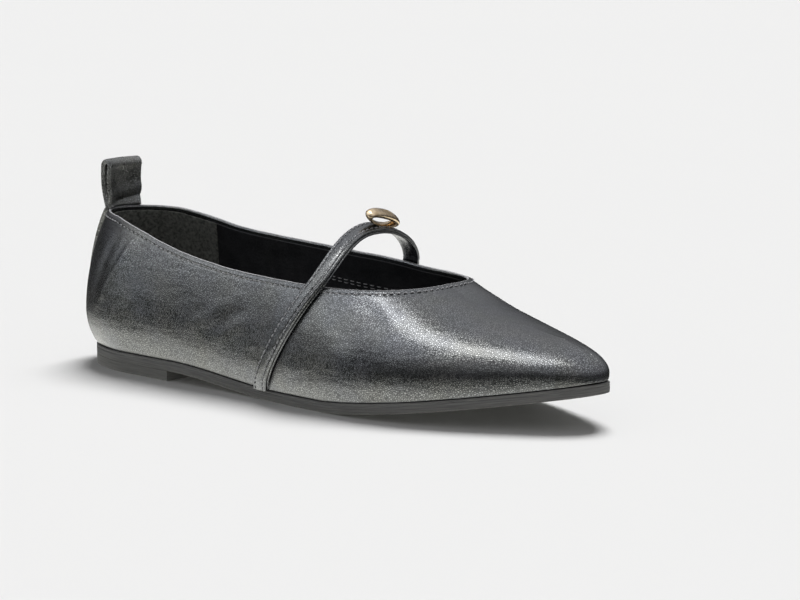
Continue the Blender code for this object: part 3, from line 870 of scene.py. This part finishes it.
def ring_frame(rows):
    """Centre of the ring and its directions along the strap, across it and up from it.

    First as the part's source places it, then moved and turned a little to lie as in the photograph.
    """
    arch = rows[STRAP_WALL_STEPS:-STRAP_WALL_STEPS]
    before = int(np.searchsorted(arch[:, 1, 1], RING_ACROSS)) - 1
    share = (RING_ACROSS - arch[before][1][1]) / (arch[before + 1][1][1] - arch[before][1][1])
    front, middle, rear = arch[before] * (1.0 - share) + arch[before + 1] * share
    run = unit(arch[before + 1][1] - arch[before][1])
    up = unit(np.cross(front - rear, run))
    across = np.cross(run, up)
    reach = math.hypot(RING_HEIGHT / 2.0 * math.cos(RING_TILT), RING_LENGTH / 2.0 * math.sin(RING_TILT))
    centre = middle + up * (STRAP_THICKNESS / 2.0 + GAP + reach - RING_SINK) + across * RING_FORWARD
    tilt = RING_TILT - RING_LEVEL
    along = run * math.cos(tilt) - up * math.sin(tilt)
    lift = np.cross(across, along)
    facing = across * math.cos(RING_TIP) - lift * math.sin(RING_TIP)
    return centre, along, facing, lift * math.cos(RING_TIP) + across * math.sin(RING_TIP)


def squared(value):
    """A sine or cosine that fills the corners of a section a little."""
    return math.copysign(abs(value) ** RING_SQUARENESS, value)


def build_ring(rows, material):
    """Oval ring that stands on the strap: broad top with a plain beaded patch, thin base."""
    centre, along, across, up = ring_frame(rows)
    top_thickness = RING_TOP_THICKNESS + RING_CUSHION
    points = []
    for step in range(RING_STEPS):
        angle = 2.0 * math.pi * step / RING_STEPS
        top_share = (1.0 + math.sin(angle)) / 2.0
        thickness = RING_BASE_THICKNESS + (top_thickness - RING_BASE_THICKNESS) * top_share
        width = RING_BASE_WIDTH + (RING_TOP_WIDTH - RING_BASE_WIDTH) * top_share
        long_radius = (RING_LENGTH - thickness) / 2.0
        high_radius = (RING_HEIGHT - thickness) / 2.0
        out = unit(np.array([math.cos(angle) / long_radius, math.sin(angle) / high_radius]))
        length = long_radius * math.cos(angle)
        patch = math.exp(-(length / RING_PATCH_REACH) ** 4) * max(math.sin(angle), 0.0)
        for turn in range(RING_SECTION_STEPS):
            around = 2.0 * math.pi * turn / RING_SECTION_STEPS
            rise = squared(math.cos(around))
            depth = width / 2.0 * squared(math.sin(around))
            bead = math.cos(2 * math.pi * length / RING_BEAD) * math.cos(2 * math.pi * depth / RING_BEAD)
            lift = rise * thickness / 2.0 + RING_RELIEF * bead * patch * max(rise, 0.0) ** 2
            points.append(centre + along * (length + out[0] * lift)
                          + up * (high_radius * math.sin(angle) + out[1] * lift) + across * depth)
    count = len(points)
    faces = [tuple(index % count for index in face)
             for face in grid_faces(RING_STEPS + 1, RING_SECTION_STEPS, closed=True)]
    item = add_mesh("ring_band", points, faces, material, solid=True, smooth_angle=80.0)
    return dress(item, ["ring"])


def heel_back(across, height):
    """Point and outward direction of the upper's back at a distance across and a height."""
    side = "medial" if across > 0.0 else "lateral"
    way = BACK_TURNS if side == "lateral" else 2.0 - BACK_TURNS
    line = wall(way, wall_sweep(way, np.full(len(way), height)))
    turn = float(np.interp(abs(across), np.abs(line[:, 1]), BACK_TURNS))
    turn = turn if side == "lateral" else 2.0 - turn
    sweep = wall_sweep(turn, height)
    return wall(turn, sweep), wall_normal(turn, sweep)


def tab_leg(share, outer, across, edge, middle):
    """Point of one leg of the tab over the topline. The inner leg has a soft fold low down."""
    seat = GAP + TAB_THICKNESS / 2.0
    spread = 2.0 * TAB_FOLD_RADIUS - seat - UPPER_WALL / 2.0
    fold_height = TAB_HEIGHT - TAB_FOLD_RADIUS - TAB_THICKNESS / 2.0
    curl = (edge[0] - middle[0]) * (1.0 - TAB_FLATTENING * share)
    if outer:
        sway = TAB_SWELL * math.sin(math.pi * share)
        shift = -seat - spread * (1.0 - TAB_INNER_SHARE) * share - sway
        return np.array([middle[0] + curl + shift, across, BACK_HEIGHT + fold_height * share])
    slant = TAB_SLANT * across / TAB_WIDTH
    ridge = TAB_RIDGE * math.exp(-((share - TAB_RIDGE_AT - slant) / TAB_RIDGE_WIDTH) ** 2)
    trough = TAB_TROUGH * math.exp(-((share - TAB_TROUGH_AT - slant) / TAB_TROUGH_WIDTH) ** 2)
    pinch = TAB_PINCH * math.sqrt(math.sin(math.pi * min(share, 0.999)))
    shift = UPPER_WALL / 2.0 + spread * TAB_INNER_SHARE * share + ridge - trough - pinch
    gather = 1.0 - TAB_GATHER * math.exp(-(share / TAB_GATHER_REACH) ** 2)
    return np.array([middle[0] + curl + shift, across * gather, BACK_HEIGHT + fold_height * share])


def tab_column(across):
    """Points of the tab at a distance across: up the back strip, over the fold and down to the topline."""
    seat = GAP + TAB_THICKNESS / 2.0
    low = sole_top(0.0) + 2.0 * GAP
    points = []
    for step in range(TAB_STRIP_STEPS):
        height = low + (BACK_HEIGHT - low) * step / TAB_STRIP_STEPS
        point, out = heel_back(across, height)
        points.append(point + out * seat)
    edge, _ = heel_back(across, BACK_HEIGHT)
    middle, _ = heel_back(0.0, BACK_HEIGHT)
    points += [tab_leg(step / TAB_LEG_STEPS, True, across, edge, middle) for step in range(TAB_LEG_STEPS + 1)]
    start = points[-1]
    for step in range(1, TAB_FOLD_STEPS):
        angle = math.pi * step / TAB_FOLD_STEPS
        sway = TAB_FOLD_RADIUS * (1.0 - math.cos(angle))
        points.append(start + np.array([sway, 0.0, TAB_FOLD_RADIUS * math.sin(angle)]))
    shares = [1.0 - step / TAB_LEG_STEPS for step in range(TAB_LEG_STEPS + 1)]
    points += [tab_leg(share, False, across, edge, middle) for share in shares]
    return points


def build_pull_tab(material):
    """Folded pull tab on the back of the heel, with the strip that it runs into."""
    shares = np.linspace(1.0, -1.0, TAB_COLUMNS)
    columns = [tab_column(TAB_WIDTH / 2.0 * share) for share in shares]
    points = [line[row] for row in range(len(columns[0])) for line in columns]
    item = add_mesh("pull_tab_leather", points, grid_faces(len(columns[0]), TAB_COLUMNS), material)
    thicken(item, TAB_THICKNESS + TAB_PADDING, offset=0.0)
    edge = item.modifiers.new("Edge", "BEVEL")
    edge.width = TAB_EDGE_ROUND
    edge.segments = 3
    edge.limit_method = "ANGLE"
    edge.angle_limit = math.radians(50)
    return dress(item, ["pull_tab"])


def plate_rings(turns, side_rows, top_of, thickness):
    """Rings of a plate's side from its upper face down, with the way round and the drop for each point."""
    plan = outline(turns)
    out = outline_normal(turns)
    way = np.concatenate([[0.0], np.cumsum(np.linalg.norm(np.diff(plan, axis=0), axis=1))])
    rings = []
    marks = []
    for stand, drop in side_rows:
        spot = plan + out * (SOLE_MARGIN + stand)
        height = top_of(plan[:, 0]) - thickness * drop
        rings.append(np.column_stack([spot, height]))
        marks.append(np.column_stack([way, np.full(len(way), thickness * drop)]))
    return np.concatenate(rings), np.concatenate(marks)


def plate_faces(count, rings):
    """Side, upper and lower faces of a plate whose rings run round by the lateral and medial sides."""
    faces = grid_faces(rings, count, closed=True)
    for base in (0, (rings - 1) * count):
        for step in range(count // 2):
            face = [step, step + 1, (count - step - 1) % count, (count - step) % count]
            face = [base + index for number, index in enumerate(face) if index not in face[:number]]
            if len(face) > 2:
                faces.append(tuple(face))
    return faces


def build_outsole(material):
    """Thin sole with a fine line round its side."""
    half = np.linspace(0.0, 1.0, SOLE_STEPS + 1)
    turns = np.concatenate([half, 1.0 + half[1:-1]])
    points, marks = plate_rings(turns, SOLE_SIDE, sole_top, SOLE_THICKNESS)
    faces = plate_faces(len(turns), len(SOLE_SIDE))
    item = add_mesh("outsole_edge", points, faces, material, uvs=marks, solid=True)
    return dress(item, ["outsole"])


def heel_top(x):
    """Height of the heel's upper face."""
    return np.full(np.shape(x), HEEL_HEIGHT - HEEL_SEAM)


def build_heel(material):
    """Low heel block with a straight breast."""
    end = float(turn_of(BREAST_STATION))
    turns = np.linspace(-end, end, 2 * HEEL_STEPS)
    thickness = HEEL_HEIGHT - HEEL_SEAM
    points, marks = plate_rings(turns[::-1], HEEL_SIDE, heel_top, thickness)
    count = len(turns)
    faces = grid_faces(len(HEEL_SIDE), count, closed=True)
    for base in (0, (len(HEEL_SIDE) - 1) * count):
        for step in range(count // 2 - 1):
            faces.append((base + step, base + step + 1, base + count - 2 - step, base + count - 1 - step))
    item = add_mesh("heel_block", points, faces, material, uvs=marks, solid=True, smooth_angle=35.0)
    return dress(item, ["heel"])


def build_insole(material):
    """Insole with softly raised edges."""
    stations = station_of(np.linspace(0.0, 1.0, SOLE_STEPS + 1))
    shares = np.linspace(-1.0, 1.0, INSOLE_COLUMNS)
    inset = UPPER_WALL + 2.0 * GAP + LINING_THICKNESS
    rows = []
    for station in stations:
        turns = np.array([turn_at(station, "lateral"), turn_at(station, "medial")])
        near, far = outline(turns) - outline_normal(turns) * inset
        plan = [near * (1.0 - share) / 2.0 + far * (1.0 + share) / 2.0 for share in shares]
        base = sole_top(LAST_LENGTH * station) + GAP + INSOLE_THICKNESS
        rows += [(x, y, base - INSOLE_DIP * (1.0 - share ** 4)) for (x, y), share in zip(plan, shares)]
    item = add_mesh("insole_sock", rows, grid_faces(len(stations), INSOLE_COLUMNS), material)
    thicken(item, INSOLE_THICKNESS - INSOLE_DIP)
    return dress(item, ["insole"])


def add_node(tree, kind, **values):
    """Node with values on its inputs; an underscore in a name stands for a space."""
    node = tree.nodes.new("ShaderNode" + kind)
    for name, value in values.items():
        node.inputs[name.replace("_", " ")].default_value = value
    return node


def feed(node, **outputs):
    """Link outputs to the inputs of a node; an underscore in a name stands for a space."""
    for name, output in outputs.items():
        node.id_data.links.new(output, node.inputs[name.replace("_", " ")])
    return node.outputs


def places(tree):
    """Texture places: on the object or on its UV map."""
    return add_node(tree, "TexCoord").outputs


def new_material(name, roughness, ior=1.5, specular=0.5, metallic=0.0):
    """Principled material with its even values on the shader itself."""
    material = bpy.data.materials.new(name)
    material.use_nodes = True
    shader = material.node_tree.nodes["Principled BSDF"]
    shader.inputs["Roughness"].default_value = roughness
    shader.inputs["IOR"].default_value = ior
    shader.inputs["Specular IOR Level"].default_value = specular
    shader.inputs["Metallic"].default_value = metallic
    return material, material.node_tree, shader


def noise(tree, vector, scale, detail=2.0):
    """Noise texture on a vector; the scale is in cells per metre."""
    return feed(add_node(tree, "TexNoise", Scale=scale, Detail=detail), Vector=vector)["Fac"]


def blend_colors(tree, factor, low, high):
    """Colour between two colours by a noise."""
    node = add_node(tree, "ValToRGB")
    for stop, color, position in zip(node.color_ramp.elements, (low, high), BLEND_STOPS):
        stop.position = position
        stop.color = (*color, 1.0)
    return feed(node, Fac=factor)["Color"]


def spread(tree, factor, low, high):
    """Value between two values by a noise."""
    start, end = SPREAD_RANGE
    node = add_node(tree, "MapRange", From_Min=start, From_Max=end, To_Min=low, To_Max=high)
    return feed(node, Value=factor)["Result"]


def add_bump(tree, height, distance, strength, before=None):
    """Bump over an earlier one."""
    node = add_node(tree, "Bump", Distance=distance, Strength=strength)
    if before is not None:
        feed(node, Normal=before)
    return feed(node, Height=height)["Normal"]


def grain_gaps(tree, place, grain):
    """Distance from the gaps between the leather's grains, which are a little bent out of shape."""
    twist = feed(add_node(tree, "TexNoise", Scale=0.7 / grain), Vector=place)
    warp = add_node(tree, "Mix", Factor=GRAIN_WARP * grain)
    warp.data_type = "VECTOR"
    bent = feed(warp, A=place, B=twist["Color"])
    cells = add_node(tree, "TexVoronoi", Scale=1.0 / grain)
    cells.feature = "DISTANCE_TO_EDGE"
    return feed(cells, Vector=bent["Result"])["Distance"]


def leather_material(name, dark, light, roughness, grain, depth, ior=2.0, specular=1.0):
    """Pebbled leather: domed grains with dull gaps, soft wrinkles, mottling and two tints of gloss."""
    material, tree, shader = new_material(name, roughness, ior=ior, specular=specular)
    place = places(tree)["Object"]
    dome = add_node(tree, "MapRange", From_Max=GRAIN_GAP, To_Min=specular * GAP_GLOSS, To_Max=specular)
    dome.interpolation_type = "SMOOTHSTEP"
    gloss = feed(dome, Value=grain_gaps(tree, place, grain))["Result"]
    mottle = noise(tree, place, MOTTLE_SCALE, 3.0)
    lean = add_node(tree, "Mapping", Rotation=(0.0, WRINKLE_LEAN, 0.0), Scale=WRINKLE_SCALE)
    wrinkles = noise(tree, feed(lean, Vector=place)["Vector"], 1.0)
    normal = add_bump(tree, wrinkles, WRINKLE_DEPTH, WRINKLE_STRENGTH)
    normal = add_bump(tree, noise(tree, place, DIMPLE_SCALE), DIMPLE_DEPTH, DIMPLE_STRENGTH, normal)
    feed(
        shader,
        Base_Color=blend_colors(tree, mottle, dark, light),
        Roughness=spread(tree, mottle, roughness - 0.04, roughness + 0.05),
        Specular_IOR_Level=gloss,
        Specular_Tint=blend_colors(tree, noise(tree, place, TINT_SCALE), COOL_GLOSS, WARM_GLOSS),
        Normal=add_bump(tree, gloss, depth, 1.0, normal),
    )
    return material


def upper_leather():
    """Nearly black leather of the upper, with a bright gloss."""
    dark, light = (0.008, 0.010, 0.010), (0.013, 0.013, 0.016)
    return leather_material("pebbled_leather", dark, light, roughness=0.21, grain=0.00074, depth=0.00004)


def strap_leather():
    """The strap's leather, a little coarser."""
    dark, light = (0.008, 0.009, 0.010), (0.014, 0.015, 0.018)
    return leather_material("strap_grain", dark, light, roughness=0.20, grain=0.00080, depth=0.00005)


def tab_leather_with_painted_light():
    """The pull tab's leather, less dark: partly a paler leather, partly painted light that lightens the whole
    tab and its back strip.
    """
    dark, light = (0.040, 0.041, 0.037), (0.075, 0.076, 0.070)
    return leather_material("tab_grain_with_painted_light", dark, light, roughness=0.27, grain=0.00090, depth=0.00010)


def lining_leather():
    """Dull leather of lining and insole."""
    dark, light = (0.018, 0.018, 0.020), (0.032, 0.032, 0.035)
    return leather_material(
        "lining_leather", dark, light, roughness=0.55, grain=0.0006, depth=0.00004, ior=1.5, specular=0.5
    )


def heel_suede():
    """Dull napped lining of the heel."""
    material, tree, shader = new_material("heel_lining_suede", 0.95, specular=0.2)
    shader.inputs["Sheen Weight"].default_value = 0.25
    shader.inputs["Sheen Roughness"].default_value = 0.6
    place = places(tree)["Object"]
    patches = noise(tree, place, 800.0, 4.0)
    color = blend_colors(tree, patches, (0.090, 0.094, 0.082), (0.280, 0.284, 0.260))
    feed(shader, Base_Color=color, Normal=add_bump(tree, noise(tree, place, 1800.0, 3.0), 0.0002, 0.6))
    return material


def rubber_material(name, dark, light):
    """Dark grey matte rubber with fine lines along its side."""
    material, tree, shader = new_material(name, 0.62)
    place = places(tree)
    stretch = add_node(tree, "Mapping", Scale=(70.0, 2600.0, 1.0))
    lines = noise(tree, feed(stretch, Vector=place["UV"])["Vector"], 1.0, 3.0)
    normal = add_bump(tree, noise(tree, place["Object"], 900.0, 3.0), 0.00012, 0.4)
    normal = add_bump(tree, lines, 0.00015, 0.6, normal)
    feed(shader, Base_Color=blend_colors(tree, lines, dark, light), Normal=normal)
    return material


def sole_rubber():
    """Rubber of the sole's edge."""
    return rubber_material("sole_edge_rubber", (0.085, 0.085, 0.082), (0.150, 0.150, 0.143))


def heel_rubber():
    """Rubber of the heel block."""
    return rubber_material("heel_rubber_block", (0.105, 0.105, 0.100), (0.170, 0.170, 0.160))


def pale_gold():
    """Polished pale gold plating."""
    material, tree, shader = new_material("pale_gold", 0.22, metallic=1.0)
    place = places(tree)["Object"]
    film = noise(tree, place, 400.0, 3.0)
    feed(
        shader,
        Base_Color=blend_colors(tree, film, (0.46, 0.35, 0.22), (0.74, 0.60, 0.42)),
        Roughness=spread(tree, film, 0.18, 0.30),
        Normal=add_bump(tree, noise(tree, place, 1500.0), 0.00004, 0.3),
    )
    return material


def thread_material(name, dark, light):
    """Waxed thread, or the topline's pale line: a cut edge of leather with a painted highlight."""
    material, tree, shader = new_material(name, 0.5)
    twist = noise(tree, places(tree)["Object"], 3000.0, 1.0)
    color = blend_colors(tree, twist, dark, light)
    feed(shader, Base_Color=color, Normal=add_bump(tree, twist, 0.00005, 0.5))
    return material


def grey_thread():
    """Grey thread of all stitches."""
    return thread_material("thread", (0.26, 0.26, 0.27), (0.52, 0.52, 0.54))


def cut_edge_and_highlight_color():
    """Pale colour of the topline's turned edge: partly the leather's cut edge, partly a painted highlight."""
    return thread_material("cut_edge_and_painted_highlight", (0.36, 0.36, 0.37), (0.60, 0.60, 0.62))


def build_camera():
    """Camera at the photograph's angle."""
    back = Vector((
        math.sin(VIEW_AZIMUTH) * math.cos(VIEW_ELEVATION),
        -math.cos(VIEW_AZIMUTH) * math.cos(VIEW_ELEVATION),
        math.sin(VIEW_ELEVATION),
    ))
    right = Vector((math.cos(VIEW_AZIMUTH), math.sin(VIEW_AZIMUTH), 0.0))
    up = back.cross(right)
    data = bpy.data.cameras.new("photo_camera")
    data.sensor_width = SENSOR_WIDTH
    data.lens = FOCAL_PIXELS / IMAGE_WIDTH * SENSOR_WIDTH
    data.clip_start = 0.05
    camera = bpy.data.objects.new("photo_camera", data)
    turned = Matrix((right, up, back)).transposed().to_4x4()
    place = VIEW_TARGET + back * VIEW_DISTANCE + right * VIEW_RIGHT + up * VIEW_UP
    camera.matrix_world = Matrix.Translation(place) @ turned
    bpy.context.scene.collection.objects.link(camera)
    bpy.context.scene.camera = camera


def build_floor():
    """Plain pale floor. The leather mirrors the studio's sky in its place."""
    half = FLOOR_HALF
    mesh = bpy.data.meshes.new("floor")
    corners = [(-half, -half, 0.0), (half, -half, 0.0), (half, half, 0.0), (-half, half, 0.0)]
    mesh.from_pydata(corners, [], [(0, 1, 2, 3)])
    material, _, shader = new_material("floor_paint", 1.0, specular=0.0)
    shader.inputs["Base Color"].default_value = (*FLOOR_COLOR, 1.0)
    mesh.materials.append(material)
    floor = bpy.data.objects.new("floor", mesh)
    floor.visible_glossy = False
    bpy.context.scene.collection.objects.link(floor)


def build_sky():
    """Sky that only the gloss sees: bright where the pale floor mirrors, a dark band, a soft upper half."""
    world = bpy.data.worlds.new("studio")
    bpy.context.scene.world = world
    world.use_nodes = True
    tree = world.node_tree
    split = feed(add_node(tree, "SeparateXYZ"), Vector=places(tree)["Generated"])
    tilt = add_node(tree, "Math")
    tilt.operation = "MULTIPLY_ADD"
    tilt.inputs[1].default_value = SKY_TILT
    tree.links.new(split["X"], tilt.inputs[0])
    tree.links.new(split["Z"], tilt.inputs[2])
    height = feed(add_node(tree, "MapRange", From_Min=-1.0, From_Max=1.0), Value=tilt.outputs["Value"])
    ramp = add_node(tree, "ValToRGB")
    stops = ramp.color_ramp.elements
    while len(stops) > 1:
        stops.remove(stops[-1])
    for number, (rise, level) in enumerate(SKY_STOPS):
        stop = stops[0] if number == 0 else stops.new(0.5)
        stop.position = (math.sin(math.radians(rise)) + 1.0) / 2.0
        tint = SKY_LOW_TINT if rise < 0 else SKY_HIGH_TINT
        stop.color = (*(level * share for share in tint), 1.0)
    background = tree.nodes["Background"]
    background.inputs["Strength"].default_value = SKY_STRENGTH
    feed(background, Color=feed(ramp, Fac=height["Result"])["Color"])
    world.cycles_visibility.diffuse = False


def add_lamp(data, azimuth, elevation, roll=0.0):
    """Lamp object that shines from a direction onto the shoe, and that direction."""
    azimuth, elevation = math.radians(azimuth), math.radians(elevation)
    source = Vector((
        math.cos(azimuth) * math.cos(elevation),
        math.sin(azimuth) * math.cos(elevation),
        math.sin(elevation),
    ))
    lamp = bpy.data.objects.new(data.name, data)
    lamp.rotation_mode = "QUATERNION"
    turned = Quaternion((0.0, 0.0, 1.0), math.radians(roll))
    lamp.rotation_quaternion = source.to_track_quat("Z", "Y") @ turned
    bpy.context.scene.collection.objects.link(lamp)
    return lamp, source


def add_sun(name, strength, angle, azimuth, elevation):
    """Round soft lamp far away."""
    data = bpy.data.lights.new(name, "SUN")
    data.energy = strength
    data.angle = math.radians(angle)
    return add_lamp(data, azimuth, elevation)[0]


def add_box(name, width, height, power, azimuth, elevation, roll):
    """Soft box that only the gloss sees."""
    data = bpy.data.lights.new(name, "AREA")
    data.shape = "RECTANGLE"
    data.size = width
    data.size_y = height
    data.energy = power
    data.color = COOL_WHITE
    box, source = add_lamp(data, azimuth, elevation, roll)
    box.location = VIEW_TARGET + source * BOX_DISTANCE
    box.visible_diffuse = False


def build_lamps():
    """Overhead lamp and wide fill for the shadows; a glow overhead and two boxes on the left for gloss."""
    add_sun("overhead", *OVERHEAD).visible_glossy = False
    add_sun("fill", *FILL).visible_glossy = False
    add_sun("glow", *GLOW).visible_diffuse = False
    add_box("side_box", *SIDE_BOX)
    add_box("low_box", *LOW_BOX)


def main():
    """Build the looks."""
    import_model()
    thread = grey_thread()
    lining = lining_leather()
    surface = Surface()
    build_upper(surface, upper_leather())
    build_cut_edge_and_highlight(surface, cut_edge_and_highlight_color())
    build_linings(surface, lining, heel_suede())
    build_topline_stitches(surface, thread)
    build_lining_stitches(thread)
    rows = strap_rows()
    build_strap(rows, strap_leather())
    build_strap_stitches(rows, thread)
    build_ring(rows, pale_gold())
    build_pull_tab(tab_leather_with_painted_light())
    build_outsole(sole_rubber())
    build_heel(heel_rubber())
    build_insole(lining)
    build_camera()
    build_floor()
    build_sky()
    build_lamps()
    bpy.context.scene.view_settings.view_transform = "Standard"


main()
